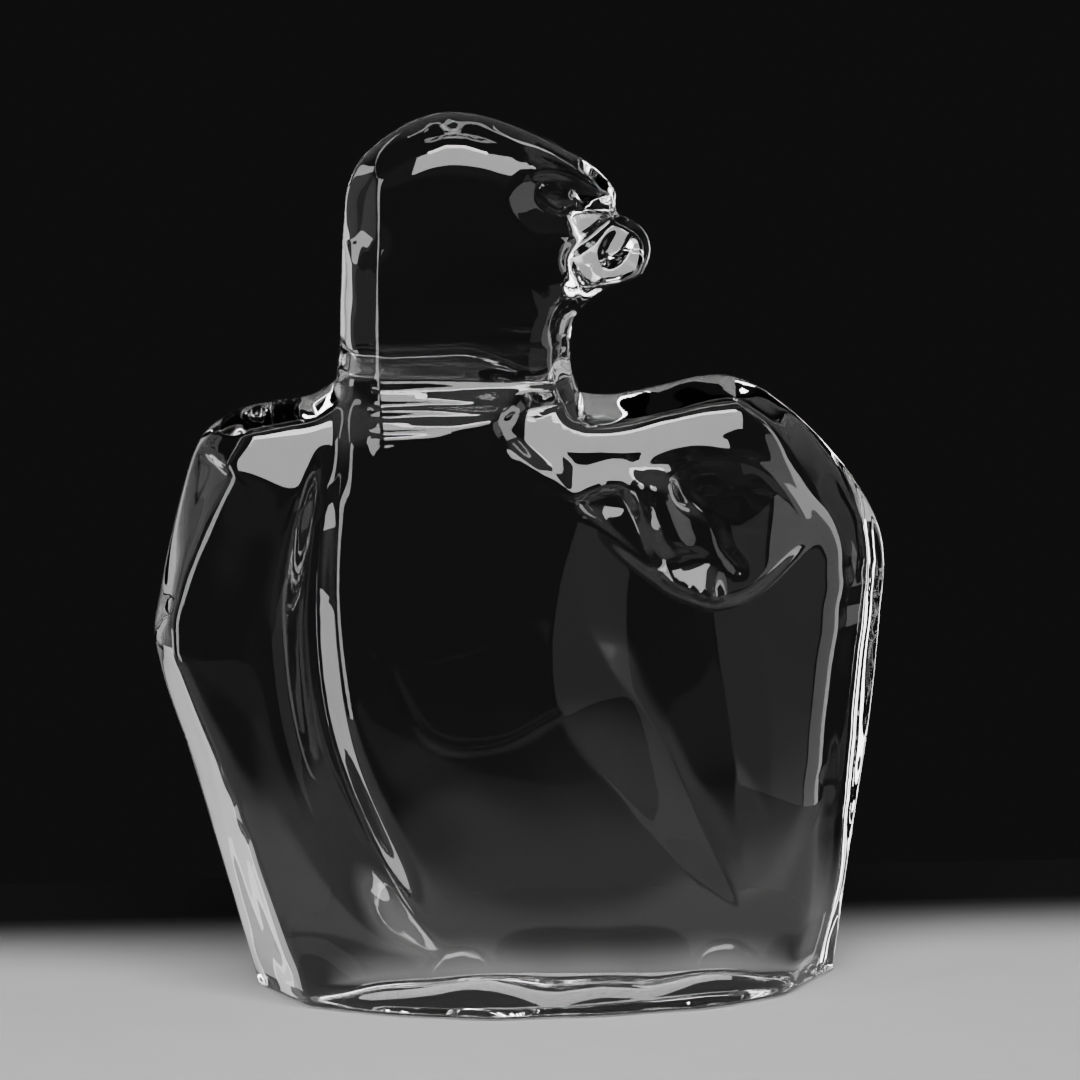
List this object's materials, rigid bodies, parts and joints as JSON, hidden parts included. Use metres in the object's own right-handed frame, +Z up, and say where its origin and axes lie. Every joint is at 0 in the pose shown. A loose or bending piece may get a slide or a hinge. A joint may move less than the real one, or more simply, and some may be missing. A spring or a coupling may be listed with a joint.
{
  "type": "glass bird sculpture",
  "caption": "Solid clear glass bird of prey, upright with folded wings, its head turned to look past one shoulder. Stands on a flat underside.",
  "frame": {"origin": "on the flat underside, below the middle of the drawn width, in the plane of the widest outline", "axes": "+Z up, the bird's breast faces -Y, +X towards the side that the beak points to"},
  "size_m": [0.182, 0.06, 0.22],
  "materials": {
    "clear_glass": "clear colourless glass, smooth and fire-bright all over"
  },
  "bodies": {
    "root": {"glass_eagle": "clear_glass"}
  },
  "joints": []
}
